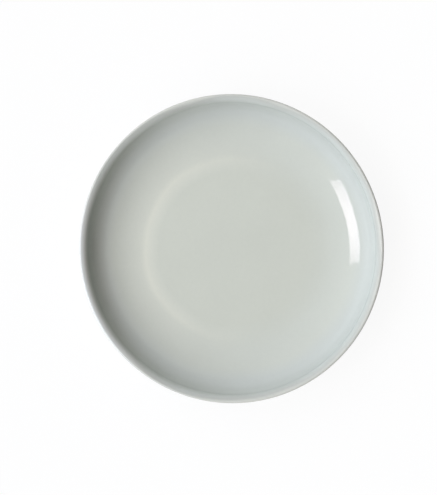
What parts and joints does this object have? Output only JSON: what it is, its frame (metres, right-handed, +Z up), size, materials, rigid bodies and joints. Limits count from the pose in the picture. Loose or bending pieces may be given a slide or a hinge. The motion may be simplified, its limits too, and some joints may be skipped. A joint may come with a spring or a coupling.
{
  "type": "soup plate",
  "caption": "Round coupe soup plate with a flat well, a low wall that bends up to a rounded lip without a separate rim, a pale glaze and a dry foot ring.",
  "frame": {"origin": "centre of the foot ring, on the surface the plate stands on", "axes": "+Z up along the plate's axis, out of the bowl; X and Y lie in the table and are alike, because the plate is round"},
  "size_m": [0.22, 0.22, 0.03],
  "materials": {
    "biscuit": "matt, fired",
    "glaze": "gloss, pale grey-green"
  },
  "bodies": {
    "root": {"ceramic_body": "biscuit", "glaze_coat": "glaze", "base_glaze": "glaze"}
  },
  "joints": []
}
